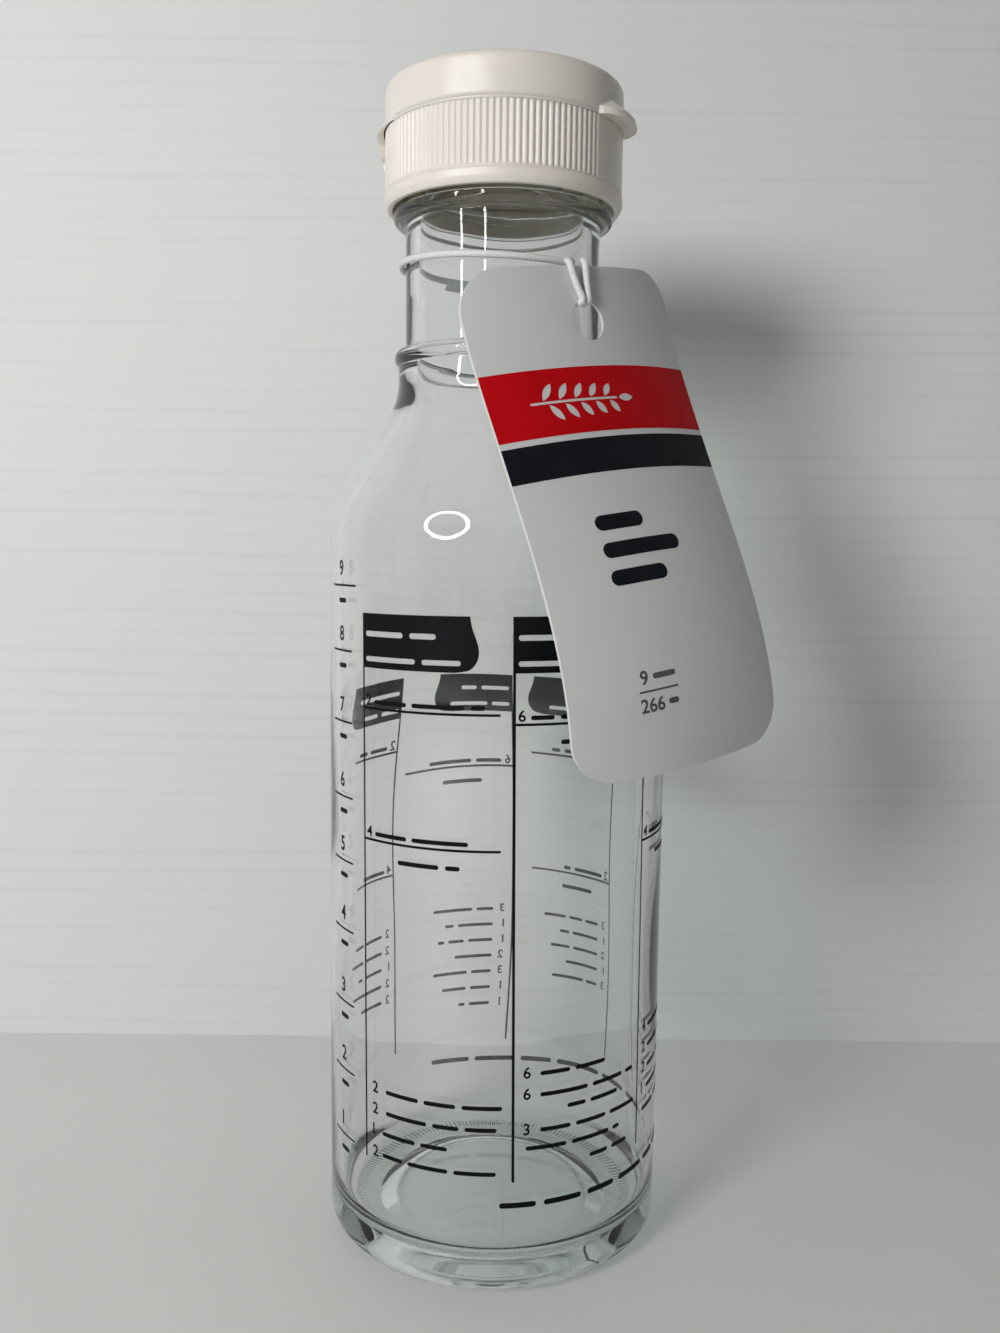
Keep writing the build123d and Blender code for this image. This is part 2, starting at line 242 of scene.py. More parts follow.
def thread_height(angles, heights, start, turns):
    """How far a screw ridge stands up, from 0 to 1, at these angles and heights."""
    lift = np.zeros(np.broadcast(angles, heights).shape)
    for k in range(int(math.ceil(turns))):
        t = angles / (2 * math.pi) + k
        off = np.abs(heights - (start + THREAD_PITCH * t))
        ridge = smooth((THREAD_ROOT / 2 - off) / (THREAD_ROOT / 2 - THREAD_CREST / 2))
        ends = smooth(t / THREAD_FADE) * smooth((turns - t) / THREAD_FADE)
        lift = np.maximum(lift, ridge * ends)
    return lift


def make_camera():
    data = bpy.data.cameras.new("camera")
    data.sensor_width = CAMERA_SENSOR
    data.lens = CAMERA_LENS
    data.clip_start, data.clip_end = CAMERA_CLIP
    camera = add_object("camera", data)
    yaw, pitch, roll = CAMERA_YAW, CAMERA_PITCH, CAMERA_ROLL
    ahead = Vector((math.sin(yaw) * math.cos(pitch), math.cos(yaw) * math.cos(pitch), -math.sin(pitch)))
    right = Vector((math.cos(yaw), -math.sin(yaw), 0))
    up = right.cross(ahead)
    right, up = right * math.cos(roll) + up * math.sin(roll), up * math.cos(roll) - right * math.sin(roll)
    turn = Matrix((right, up, -ahead)).transposed()
    camera.matrix_world = Matrix.Translation(Vector(CAMERA_PLACE) * MM) @ turn.to_4x4()
    scene.camera = camera


make_camera()


# Materials
class Nodes:
    """Short way to write the nodes of a material or of the world."""

    def __init__(self, owner, shader="Principled BSDF", place="Object"):
        owner.use_nodes = True
        self.owner = owner
        self.tree = owner.node_tree
        self.shader = self.tree.nodes[shader]
        self.place = self.add("ShaderNodeTexCoord").outputs[place]

    def add(self, kind, links=None, **values):
        node = self.tree.nodes.new(kind)
        for key, value in values.items():
            setattr(node, key, value)
        for key, value in (links or {}).items():
            self.put(node.inputs[key], value)
        return node

    def put(self, socket, value):
        if isinstance(value, bpy.types.NodeSocket):
            self.tree.links.new(value, socket)
        else:
            socket.default_value = value

    def set(self, **values):
        for key, value in values.items():
            self.put(self.shader.inputs[key.replace("_", " ")], value)

    def show(self, node, socket="Surface"):
        self.put(self.tree.nodes["Material Output"].inputs[socket], node.outputs[0])

    def coordinates(self):
        return self.add("ShaderNodeSeparateXYZ", {"Vector": self.place}).outputs

    def from_axis(self):
        """Distance from the bottle's axis."""
        level = self.add("ShaderNodeVectorMath", {"Vector": self.place, 1: (1, 1, 0)}, operation="MULTIPLY")
        return self.add("ShaderNodeVectorMath", {"Vector": level.outputs[0]}, operation="LENGTH").outputs["Value"]

    def noise(self, scale, detail=3.0, roughness=0.5, stretch=(1, 1, 1)):
        mapped = self.add("ShaderNodeMapping", {"Vector": self.place, "Scale": stretch})
        node = self.add(
            "ShaderNodeTexNoise",
            {"Vector": mapped.outputs[0], "Scale": scale, "Detail": detail, "Roughness": roughness},
        )
        return node.outputs["Fac"]

    def ramp(self, value, low, high, start=0.3, end=0.7):
        node = self.add("ShaderNodeValToRGB", {"Fac": value})
        for element, position, colour in zip(node.color_ramp.elements, (start, end), (low, high)):
            element.position, element.color = position, (*colour, 1)
        return node.outputs["Color"]

    def range(self, value, low, high, start=0.3, end=0.7):
        return self.add(
            "ShaderNodeMapRange",
            {"Value": value, "From Min": start, "From Max": end, "To Min": low, "To Max": high},
        ).outputs["Result"]

    def maths(self, operation, *values):
        return self.add("ShaderNodeMath", dict(enumerate(values)), operation=operation).outputs[0]

    def mix(self, share, first, second):
        """Shader that goes from the first node to the second with the share."""
        return self.add("ShaderNodeMixShader", {0: share, 1: first.outputs[0], 2: second.outputs[0]})

    def bump(self, height, distance, strength, normal=None):
        links = {"Height": height, "Distance": distance, "Strength": strength}
        if normal is not None:
            links["Normal"] = normal
        return self.add("ShaderNodeBump", links).outputs["Normal"]


def new_nodes(name):
    return Nodes(bpy.data.materials.new(name))


ABSORPTION = 15.0
# Share of white on the knurl ridges: frosted wear and painted glints
FROST_AND_GLINT_SHARE = 0.35
# Radii over which the cap's inner faces go over to the painted shade colour
PAINTED_SHADE_UNTIL = (18.8, 19.4)
GROOVE_PITCH = 4.9
GROOVE_SWAY = 6.0


def glass_material():
    n = new_nodes("clear_glass")
    n.set(
        Base_Color=n.ramp(n.noise(14), (0.988, 0.993, 0.991), (0.994, 0.997, 0.996)),
        Roughness=n.range(n.noise(420, 2), 0.0, 0.018, 0.55, 0.75),
        IOR=1.5,
        Transmission_Weight=1.0,
        Normal=n.bump(n.noise(38, 2, 0.4, (1, 1, 0.35)), 0.00016, 0.55),
    )
    rays = n.add("ShaderNodeLightPath").outputs
    passing = n.maths("MAXIMUM", rays["Is Shadow Ray"], rays["Is Diffuse Ray"])
    rim = n.add("ShaderNodeLayerWeight", {"Blend": 0.35})
    tint = n.ramp(rim.outputs["Facing"], (0.95, 0.965, 0.96), (0.52, 0.56, 0.55), 0.35, 0.95)
    clear = n.add("ShaderNodeBsdfTransparent", {"Color": tint})
    # White diffuse ticks on the sole's knurl ridges: partly frosted wear, partly painted glints of the lamp
    parts, reach = n.coordinates(), n.from_axis()
    turn = n.maths("MULTIPLY", n.maths("ARCTAN2", parts["Y"], parts["X"]), float(KNURL_TICKS))
    ridge = n.range(n.maths("COSINE", turn), 1.0, 0.0, -0.9, -0.3)
    low = n.range(parts["Z"], 1.0, 0.0, *(v * MM for v in FROST_AND_GLINT_HEIGHTS))
    inner, outer, edge = (v * MM for v in (*KNURL_BAND, KNURL_EDGE))
    starts = n.range(reach, 0.0, 1.0, inner, inner + edge)
    band = n.maths("MULTIPLY", starts, n.range(reach, 1.0, 0.0, outer - edge, outer))
    worn_and_glint = n.maths("MULTIPLY", n.maths("MULTIPLY", ridge, low), n.maths("MULTIPLY", band, FROST_AND_GLINT_SHARE))
    frost_and_glint = n.add("ShaderNodeBsdfDiffuse", {"Color": (0.86, 0.87, 0.86, 1)})
    n.show(n.mix(worn_and_glint, n.mix(passing, n.shader, clear), frost_and_glint))
    n.show(n.add("ShaderNodeVolumeAbsorption", {"Color": (0.0, 0.22, 0.14, 1), "Density": ABSORPTION}), "Volume")
    return n.owner


def cap_material():
    n = new_nodes("cap_plastic")
    cloud = n.noise(60, 4, 0.55)
    grain = n.noise(2600, 2, 0.6)
    colour = n.ramp(cloud, (0.735, 0.69, 0.635), (0.79, 0.745, 0.69))
    # Darker brown colour for the cap's inner faces under the deck: painted shade inside the cap
    inside = n.ramp(cloud, (0.42, 0.35, 0.28), (0.47, 0.40, 0.33))
    under_deck = n.range(n.coordinates()["Z"], 1.0, 0.0, (DECK_UNDERSIDE + 0.1) * MM, (DECK_UNDERSIDE + 0.2) * MM)
    painted_shade_share = n.maths("MULTIPLY", n.range(n.from_axis(), 1.0, 0.0, *(v * MM for v in PAINTED_SHADE_UNTIL)), under_deck)
    mix = n.add("ShaderNodeMix", data_type="RGBA")
    for socket, value in ((0, painted_shade_share), (6, colour), (7, inside)):
        n.put(mix.inputs[socket], value)
    n.set(
        Base_Color=mix.outputs[2],
        Roughness=n.range(grain, 0.28, 0.42),
        IOR=1.49,
        Subsurface_Weight=0.18,
        Subsurface_Scale=0.004,
        Normal=n.bump(grain, 0.00002, 0.35, n.bump(n.noise(180, 2), 0.00008, 0.2)),
    )
    n.shader.inputs["Subsurface Radius"].default_value = (1.0, 0.75, 0.55)
    return n.owner


def liner_material():
    n = new_nodes("liner_foam")
    cells = n.add("ShaderNodeTexVoronoi", {"Vector": n.place, "Scale": 2200.0})
    n.set(
        # The foam's colour is set darker and browner than the foam is: painted shade inside the cap
        Base_Color=n.ramp(n.noise(300), (0.44, 0.37, 0.30), (0.52, 0.45, 0.38)),
        Roughness=0.75,
        Normal=n.bump(cells.outputs["Distance"], 0.00008, 0.6),
    )
    return n.owner


def card_material():
    n = new_nodes("tag_card")
    fibre = n.noise(900, 4, 0.65, (1, 1, 0.4))
    cloud = n.noise(45, 3)
    n.set(
        # Greyer than white card: this colour paints part of the shade that the tag hangs in
        Base_Color=n.ramp(cloud, (0.625, 0.63, 0.635), (0.66, 0.665, 0.67)),
        Roughness=n.range(fibre, 0.36, 0.50),
        IOR=1.46,
        Normal=n.bump(fibre, 0.00003, 0.35, n.bump(cloud, 0.0004, 0.12)),
    )
    return n.owner


def cord_material():
    n = new_nodes("elastic_cord")
    yarn = n.noise(3200, 3, 0.6)
    n.set(
        Base_Color=n.ramp(yarn, (0.60, 0.61, 0.62), (0.80, 0.81, 0.82), 0.3, 0.7),
        Roughness=0.55,
        Sheen_Weight=0.35,
        Sheen_Roughness=0.4,
        Normal=n.bump(yarn, 0.00006, 0.6),
    )
    return n.owner


def ink_material(name, low, high, rough, ior):
    n = new_nodes(name)
    film = n.noise(700, 3, 0.55)
    n.set(
        Base_Color=n.ramp(n.noise(120, 4), low, high),
        Roughness=n.range(film, rough - 0.06, rough + 0.08),
        IOR=ior,
        Specular_IOR_Level=0.15,
        Normal=n.bump(film, 0.00002, 0.4),
    )
    return n.owner


def wall_material():
    n = new_nodes("stage_wall")
    cloud = n.noise(5, 3)
    sway = n.maths("MULTIPLY", n.noise(16, 3, 0.5, (0.6, 1, 1.6)), GROOVE_SWAY * MM)
    height = n.maths("ADD", n.coordinates()["Z"], sway)
    # Darker broken horizontal lines at the grooves, over a cloudy tone: painted shade of the grooves
    wave = n.maths("SINE", n.maths("MULTIPLY", height, 2 * math.pi / (GROOVE_PITCH * MM)))
    streak = n.noise(30, 4, 0.6, (0.25, 1, 5.0))
    broken_groove_shade = n.maths("MULTIPLY", n.range(wave, 0.0, 1.0, 0.5, 1.0), n.range(streak, 0.0, 1.0, 0.42, 0.62))
    groove = n.maths("ADD", n.maths("MULTIPLY", broken_groove_shade, -0.35), cloud)
    n.set(
        Base_Color=n.ramp(groove, (0.715, 0.722, 0.72), (0.765, 0.772, 0.77), 0.15, 0.65),
        Roughness=0.62,
        Normal=n.bump(streak, 0.0006, 0.06),
    )
    away = n.add("ShaderNodeNewGeometry").outputs["Backfacing"]
    n.show(n.mix(away, n.shader, n.add("ShaderNodeBsdfTransparent")))
    return n.owner


def table_material():
    n = new_nodes("stage_table")
    cloud = n.noise(9, 4)
    fine = n.noise(500, 3)
    n.set(
        Base_Color=n.ramp(cloud, (0.785, 0.78, 0.775), (0.83, 0.825, 0.82)),
        Roughness=n.range(fine, 0.42, 0.55),
        Normal=n.bump(fine, 0.00005, 0.3),
    )
    return n.owner


def lamp_material(strength):
    n = new_nodes("stage_lamp")
    n.show(n.add("ShaderNodeEmission", {"Strength": strength}))
    return n.owner


GLASS = glass_material()
CAP = cap_material()
LINER = liner_material()
CARD = card_material()
CORD = cord_material()
BLACK_INK = ink_material("glass_print", (0.003, 0.0035, 0.004), (0.006, 0.007, 0.008), 0.5, 1.3)
CARD_BLACK = ink_material("card_black", (0.004, 0.005, 0.008), (0.008, 0.010, 0.014), 0.48, 1.33)
CARD_RED = ink_material("card_red", (0.50, 0.002, 0.005), (0.56, 0.004, 0.008), 0.48, 1.33)
CARD_GREY = ink_material("card_grey", (0.07, 0.075, 0.08), (0.10, 0.105, 0.11), 0.48, 1.33)


# Points on the card: across, down from the hole, and above its middle layer
def card_table():
    down = np.linspace(-CARD_TOP - 3, CARD_BOTTOM + 3, 400)
    lean = CARD_LEAN[0] + CARD_LEAN[1] * down + CARD_LEAN[2] * down * down
    a = CARD_AZIMUTH
    normal = np.stack([math.sin(a) * np.cos(lean), -math.cos(a) * np.cos(lean), np.sin(lean)], -1)
    side = np.tile(np.array([math.cos(a), math.sin(a), 0.0]), (len(down), 1))
    rise = np.cross(normal, side)
    across = side * math.cos(CARD_ROLL) + rise * math.sin(CARD_ROLL)
    up = rise * math.cos(CARD_ROLL) - side * math.sin(CARD_ROLL)
    step = down[1] - down[0]
    place = np.vstack([[0, 0, 0], -np.cumsum((up[1:] + up[:-1]) / 2 * step, axis=0)])
    hole = np.array([np.interp(0, down, place[:, i]) for i in range(3)])
    facing = np.array([math.sin(a), -math.cos(a), 0.0])
    place += facing * CARD_DISTANCE + side[0] * CARD_SIDE_SHIFT + np.array([0, 0, CARD_HOLE_HEIGHT]) - hole
    return down, place, across, normal


CARD_TABLE = card_table()


def card_points(across, down, above):
    """Places on the bent card, in millimetres."""
    table, place, side, normal = CARD_TABLE
    across, down, above = (np.asarray(x, float) for x in (across, down, above))

    def at(values):
        return np.stack([np.interp(down, table, values[:, i]) for i in range(3)], -1)

    curl = CARD_TOP_CURL * (1 - smooth((down + CARD_TOP) / CARD_CURL_LENGTH))
    lift = CARD_BEND * (1 + curl) * across**2 + above
    return at(place) + at(side) * across[..., None] + at(normal) * lift[..., None]


# Elastic cord: its route is one smooth curve from the knot, round the neck and back to the knot
TUBE_SIDES = 20
TUBE_SHARE = 0.93
YARN_HEIGHT = 0.11
YARNS = 2.5
YARN_TURN = 1.35
KNOT_SIZE = (0.36, 0.33, 0.5)
KNOT_DEPTH = 1.75
STRAND_LEFT = -0.8
STRAND_LEFT_EDGE = -2.5
STRAND_RIGHT = 0.45
STRAND_RIGHT_EDGE = 0.8
STRAND_BITE = 0.3
STRAND_GAP = 0.1
RING_POINT_STEP = 10.0
RING_LIFT = 0.25
RING_DIP = 2.0


def ring_point(azimuth):
    """Place on the cord's loop, which the card pulls down on its own side."""
    a, pulled = math.radians(azimuth), math.radians(azimuth - sum(CORD_AZIMUTHS) / 2)
    dip = RING_DIP * (0.5 + 0.5 * math.cos(pulled)) ** 1.5
    return np.array([CORD_RING_RADIUS * math.sin(a), -CORD_RING_RADIUS * math.cos(a), CORD_HEIGHT + RING_LIFT - dip])


def strand_points(azimuth, turn, at_edge, at_hole):
    """Route of one strand from the ring, over the card's edge and down through its hole."""
    above = CARD_THICKNESS / 2 + CORD_RADIUS + STRAND_GAP
    a = math.radians(azimuth)
    ring = ring_point(azimuth)
    along = np.array([math.cos(a), math.sin(a), 0.0]) * turn
    out = np.array([math.sin(a), -math.cos(a), 0.0])
    in_hole = math.sqrt((CARD_HOLE - CORD_RADIUS + STRAND_BITE) ** 2 - at_hole**2)
    # Across, down from the hole, and above the middle layer
    card = [
        (at_edge, -CARD_TOP - 0.95, 0.35),
        (at_edge * 0.9 + at_hole * 0.1, -CARD_TOP - 0.2, above + 0.15),
        (at_edge * 0.7 + at_hole * 0.3, -CARD_TOP + 1.6, above),
        (at_edge * 0.3 + at_hole * 0.7, -CARD_TOP + 4.0, above),
        (at_hole, -in_hole - 0.75, above),
        (at_hole, -in_hole, above - 0.1),
        (at_hole, -in_hole + 0.05, -0.1),
        (at_hole, -in_hole - 0.2, -above - 0.1),
        (at_hole, -in_hole - 1.3, -above - 0.2),
    ]
    return [ring + along * 0.7 + out * 0.05, ring + along * 1.5 + out * 0.4, *card_points(*np.array(card).T)]


def cord_route():
    first, last = CORD_AZIMUTHS
    left = strand_points(first, 1, STRAND_LEFT_EDGE, STRAND_LEFT)
    right = strand_points(last, -1, STRAND_RIGHT_EDGE, STRAND_RIGHT)
    arc = 360 - (last - first)
    count = round(arc / RING_POINT_STEP)
    return [*right[::-1], *(ring_point(last + arc * k / count) for k in range(count + 1)), *left]


def smooth_line(points, resolution=24):
    """Places along the NURBS curve that has these control points."""
    curve = bpy.data.curves.new("route", "CURVE")
    curve.dimensions = "3D"
    curve.resolution_u = resolution
    spline = add_spline(curve, "NURBS", points)
    spline.use_endpoint_u = True
    spline.order_u = 3
    mesh = curve_mesh(curve)
    line = np.array([v.co for v in mesh.vertices], float)
    bpy.data.meshes.remove(mesh)
    return line


def braided_tube(name, line, spacing, closed=False):
    """Tube along a line, its skin raised in the crossing yarns of a braid."""
    if closed:
        line = np.vstack([line, line[:1]])
    line = line[np.concatenate([[True], np.linalg.norm(np.diff(line, axis=0), axis=1) > 1e-6])]
    walk = np.concatenate([[0], np.cumsum(np.linalg.norm(np.diff(line, axis=0), axis=1))])
    at = np.linspace(0, walk[-1], int(walk[-1] / spacing) + 1)
    centre = np.stack([np.interp(at, walk, line[:, i]) for i in range(3)], -1)
    if closed:
        centre = centre[:-1]
        ahead = np.roll(centre, -1, axis=0) - np.roll(centre, 1, axis=0)
    else:
        ahead = np.gradient(centre, axis=0)
    ahead /= np.linalg.norm(ahead, axis=1, keepdims=True)
    side = np.cross(ahead[0], [0.2, 0.1, 0.97])
    side /= np.linalg.norm(side)
    sides_at = []
    for t in ahead:
        side = side - t * np.dot(side, t)
        side /= np.linalg.norm(side)
        sides_at.append(side)
    sides_at = np.array(sides_at)
    other = np.cross(ahead, sides_at)
    angle = full_turn(TUBE_SIDES)
    run = (at[: len(centre)] / CORD_RADIUS)[:, None]
    left, right = np.sin(YARNS * angle + YARN_TURN * run), np.sin(YARNS * angle - YARN_TURN * run)
    weave = np.abs(np.where(right < 0, left, right)) ** 0.7
    grow = CORD_RADIUS * (TUBE_SHARE + YARN_HEIGHT * weave)
    if not closed:
        end = np.minimum(at, at[-1] - at)[:, None] / CORD_RADIUS
        grow = grow * np.sqrt(np.clip(1 - (1 - np.clip(end, 0, 1)) ** 2, 0.02, 1))
    points = (
        centre[:, None, :]
        + sides_at[:, None, :] * (grow * np.cos(angle))[..., None]
        + other[:, None, :] * (grow * np.sin(angle))[..., None]
    )
    poles = [] if closed else [list(centre[0]), list(centre[-1])]
    return lathe_piece(name, points, CORD, *poles)


def make_cord():
    cord = braided_tube("tag_cord", smooth_line(cord_route()), 0.16)
    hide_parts("tag_cord_ring", "tag_cord_strands")
    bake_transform(cord)


def make_knot():
    """Overhand knot pulled tight behind the hole."""
    turn = full_turn(240)
    loop = np.stack([np.sin(turn) + 2 * np.sin(2 * turn), np.cos(turn) - 2 * np.cos(2 * turn), -np.sin(3 * turn)], -1)
    loop *= np.array(KNOT_SIZE)
    down = -CARD_HOLE - 1.55
    middle = (STRAND_LEFT + STRAND_RIGHT) / 2
    base = card_points([middle, middle + 1, middle], [down, down, down], [-KNOT_DEPTH, -KNOT_DEPTH, 1 - KNOT_DEPTH])
    x = base[1] - base[0]
    z = base[2] - base[0]
    y = np.cross(z, x)
    line = base[0] + loop[:, :1] * x + loop[:, 1:2] * y + loop[:, 2:] * z
    knot = braided_tube("tag_cord_knot_tied", line, 0.14, closed=True)
    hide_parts("tag_cord_knot")
    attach(knot, "tag")


make_cord()
make_knot()


# Glass bottle
GLASS_COLUMNS = 1080
PUSH_UP_HEIGHT = 3.0
FLOOR_HEIGHT = 5.6
FLOOR_SAG = 0.35
FLOOR_SAG_RADIUS = 22
SOLE_TOP = 4
POLE_RADIUS = 0.4
NECK_RING_STEPS = 12
SKIN_SWELL = 0.03
SWELL_FROM = 8
SWELL_TO = 176
BORE_WAVE_TOP = 188
# Size, waves round the bore, rise over which a wave turns by a radian, and shift
BORE_WAVES = ((0.16, 2, 31, 0.0), (0.12, 3, -17, 1.3), (0.07, 5, 11, 0.6), (0.05, 2, 6.1, 0.0))


def glass_points():
    angles = full_turn(GLASS_COLUMNS)
    ring_r, ring_z = NECK_RING_CENTRE
    low = math.sqrt(NECK_RING_SECTION**2 - (NECK_FOOT_RADIUS - ring_r) ** 2)
    high = math.sqrt(NECK_RING_SECTION**2 - (NECK_RADIUS - ring_r) ** 2)
    ring = []
    first, last = math.atan2(-low, NECK_FOOT_RADIUS - ring_r), math.atan2(high, NECK_RADIUS - ring_r)
    for k in range(1, NECK_RING_STEPS):
        a = first + (last - first) * k / NECK_RING_STEPS
        ring.append((ring_r + NECK_RING_SECTION * math.cos(a), ring_z + NECK_RING_SECTION * math.sin(a), 0, 1))
    corners = [
        (POLE_RADIUS, PUSH_UP_HEIGHT, 0, 2.0),
        (17.0, PUSH_UP_HEIGHT, 4.0, 1.0),
        (21.0, 0.0, 0.6, 0.5),
        (BODY_RADIUS, 0.0, HEEL_ROUND, 2.5),
        (BODY_RADIUS, 128.9, 16.0, 4.0),
        (NECK_FOOT_RADIUS, 148.9, 13.6, 2.0),
        (NECK_FOOT_RADIUS, ring_z - low, 0.35, 0.4),
        *ring,
        (NECK_RADIUS, ring_z + high, 0.35, 1.5),
        (NECK_RADIUS, BEAD_BOTTOM, 0.6, 0.5),
        (BEAD_RADIUS, BEAD_BOTTOM, 1.5, 0.5),
        (BEAD_RADIUS, BEAD_TOP, 0.3, 0.4),
        (FINISH_RADIUS, BEAD_TOP, 0.4, 0.25),
        (FINISH_RADIUS, LIP_HEIGHT, 0.8, 0.5),
        (BORE_RADIUS, LIP_HEIGHT, 0.8, 1.5),
        (BORE_RADIUS, 166.0, 12.0, 2.0),
        (15.4, 149.35, 13.6, 2.0),
        (BODY_RADIUS - BODY_WALL, 128.346, 14.0, 2.0),
        (BODY_RADIUS - BODY_WALL, FLOOR_HEIGHT, 4.5, 4.0),
        (POLE_RADIUS, FLOOR_HEIGHT, 0, 1.5),
    ]
    profile = rounded_profile(corners, GLASS_COLUMNS, 9)
    radius, height = profile[..., 0], profile[..., 1]
    lip_row = int(np.argmax(height[:, 0]))
    outer = (np.arange(len(profile)) <= lip_row)[:, None]
    thread_zone = outer & (radius > FINISH_RADIUS - 0.1) & (height > BEAD_TOP + 0.5) & (height < LIP_HEIGHT - 0.5)
    lift = thread_height(angles[None, :], height, THREAD_START, THREAD_TURNS)
    radius = radius + np.where(thread_zone, lift * THREAD_DEPTH, 0)
    inside = ~outer & (height > FLOOR_HEIGHT + 1)
    fade = smooth((height - FLOOR_HEIGHT - 1) / 14) * smooth((BORE_WAVE_TOP - height) / 12)
    wave = sum(size * np.sin(turns * angles + height / length + shift) for size, turns, length, shift in BORE_WAVES)
    radius = radius + np.where(inside, fade * wave, 0)
    skin = outer & (height > SWELL_FROM) & (height < SWELL_TO)
    swell = SKIN_SWELL * np.sin(4 * angles + height / 23) * smooth((height - SWELL_FROM) / 10) - SKIN_SWELL
    radius = radius + np.where(skin, swell, 0)
    sole = outer & (height < SOLE_TOP)
    band = smooth((radius - KNURL_BAND[0]) / 0.5) * smooth((KNURL_BAND[1] - radius) / 0.6)
    tick = (0.5 - 0.5 * np.cos(KNURL_TICKS * angles + KNURL_SLANT * height)) ** 1.3
    bite = np.where(sole, KNURL_DEPTH * tick * band, 0)
    tilt = np.clip((radius - BODY_RADIUS + HEEL_ROUND) / HEEL_ROUND, 0, 1)
    radius, height = radius - bite * tilt, height + bite * np.sqrt(1 - tilt**2)
    floor = ~outer & (height < FLOOR_HEIGHT + 1) & (radius < FLOOR_SAG_RADIUS)
    height = height + np.where(floor, FLOOR_SAG * (1 - smooth(radius / FLOOR_SAG_RADIUS)), 0)
    return turned(np.stack([radius, height], -1), angles)


poles = [0, 0, PUSH_UP_HEIGHT], [0, 0, FLOOR_HEIGHT + FLOOR_SAG]
bottle = lathe_piece("glass_bottle_blown", glass_points(), GLASS, *poles)
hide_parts("glass_bottle")
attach(bottle, "bottle")

# Screw cap
RIB_STEP = 3.0
RIB_BOTTOM = 183.35
PLAIN_HALF_ANGLE = 21.0
RIB_DEPTH = 0.3
CAP_COLUMNS = 960
SNAP_RING = (18.65, 17.85)
SNAP_RING_TOP = 194.0
SPOUT_RADIUS = 6.2
ORIFICE_RADIUS = 5.0


def cap_points():
    angles = full_turn(CAP_COLUMNS)
    corners = [
        (19.6, CAP_BOTTOM, 0, 0.5),
        (19.95, CAP_BOTTOM, 0.3, 0.5),
        (20.5, CAP_BOTTOM + 1.0, 1.0, 0.4),
        (20.55, 183.0, 0.8, 0.4),
        (20.1, 183.3, 0.15, 0.4),
        (CAP_RADIUS, 183.6, 0.2, 0.45),
        (CAP_RADIUS, SEAM_HEIGHT, 0.05, 0.6),
        (SNAP_RING[0], SEAM_HEIGHT, 0.12, 0.4),
        (SNAP_RING[0], SNAP_RING_TOP, 0.15, 0.4),
        (SNAP_RING[1], SNAP_RING_TOP, 0.15, 0.4),
        (SNAP_RING[1], SEAM_HEIGHT, 0.12, 3.0),
        (SPOUT_RADIUS, SEAM_HEIGHT, 0.3, 0.6),
        (SPOUT_RADIUS, SPOUT_TOP, 0.2, 0.4),
        (ORIFICE_RADIUS, SPOUT_TOP, 0.2, 0.6),
        (ORIFICE_RADIUS, DECK_UNDERSIDE, 0.15, 3.0),
        (CAP_THREAD_RADIUS, DECK_UNDERSIDE, 0.3, 0.28),
        (CAP_THREAD_RADIUS, CAP_BOTTOM, 0.2, 0.3),
        (19.55, CAP_BOTTOM, 0, 0.3),
    ]
    profile = rounded_profile(corners, CAP_COLUMNS, 5)
    radius, height = profile[..., 0], profile[..., 1]
    around = np.degrees(np.mod(angles - TAB_DIRECTION, 2 * math.pi))
    from_panel = np.minimum(around - PLAIN_HALF_ANGLE, 360 - PLAIN_HALF_ANGLE - around)
    phase = (around - PLAIN_HALF_ANGLE) / RIB_STEP
    groove = np.where(from_panel < -0.6, 0, np.abs(np.cos(math.pi * phase)) ** 3.8)
    band = smooth((height - RIB_BOTTOM) / 0.6) * smooth((SEAM_HEIGHT + 0.15 - height) / 0.5)
    ribbed = (radius > 20.15) & (height > 183.2)
    radius = radius - np.where(ribbed, RIB_DEPTH * groove * band, 0)
    threaded = (np.abs(radius - CAP_THREAD_RADIUS) < 0.2) & (height < DECK_UNDERSIDE - 0.4)
    lift = thread_height(angles[None, :], height, CAP_THREAD_START, CAP_THREAD_TURNS)
    radius = radius - np.where(threaded, lift * THREAD_DEPTH, 0)
    return turned(np.stack([radius, height], -1), angles)


cap = lathe_piece("cap_base_moulded", cap_points(), CAP)
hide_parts("cap_base")
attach(cap, "cap")


def make_ledge():
    """Seat that the hinge bead turns in, a rounded bar on the cap's wall."""
    seat, middle = 0.58, -20.7
    outline = [(-19.9, 188.3), (-20.3, 188.5), (-20.95, 189.4)]
    for k in range(9):
        a = math.radians(-60 + 120 * k / 8)
        outline.append((HINGE_X + seat * math.cos(a), HINGE_HEIGHT + seat * math.sin(a)))
    outline += [(-20.9, 190.72), (-19.9, 190.72)]
    ends = (-2.5, -2.35, -1.2, 0.0, 1.2, 2.35, 2.5)
    rows = []
    for y in ends:
        shrink = 0.93 if y in (ends[0], ends[-1]) else 1.0
        row = [(middle + (x - middle) * shrink, y, HINGE_HEIGHT + (z - HINGE_HEIGHT) * shrink) for x, z in outline]
        rows.append([tuple(Matrix.Rotation(TAB_DIRECTION, 3, "Z") @ Vector(p)) for p in row])
    rows = np.array(rows)
    count = len(outline)
    faces = grid_faces(len(ends), count).tolist()
    faces.append(list(range(count))[::-1])
    faces.append([(len(ends) - 1) * count + i for i in range(count)])
    ledge = make_piece("cap_hinge_ledge", rows.reshape(-1, 3), faces, CAP, smooth_faces=False)
    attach(ledge, "cap")


make_ledge()

